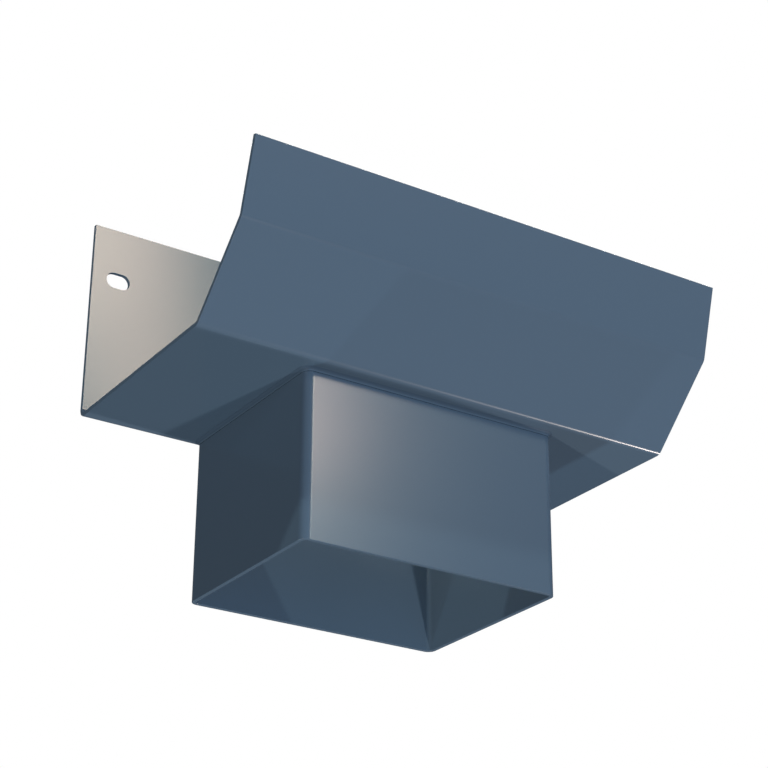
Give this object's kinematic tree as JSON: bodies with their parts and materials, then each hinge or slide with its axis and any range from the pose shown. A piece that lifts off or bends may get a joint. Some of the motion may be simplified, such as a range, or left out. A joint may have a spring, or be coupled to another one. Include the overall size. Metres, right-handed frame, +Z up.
{
  "type": "rainwater outlet",
  "caption": "Running outlet for a folded moulded metal gutter: short gutter section with slotted wall side and a rectangular spigot below for the downpipe.",
  "frame": {"origin": "on the spigot's centre line, at the underside of the sole", "axes": "+X along the gutter, +Y towards the wall that the gutter hangs on, +Z up"},
  "size_m": [0.19, 0.122, 0.1384],
  "materials": {
    "powder_coat": "satin blue-grey polyester powder coat"
  },
  "bodies": {
    "root": {"gutter_section": "powder_coat", "outlet_spigot": "powder_coat", "seam_weld": "powder_coat"}
  },
  "joints": []
}
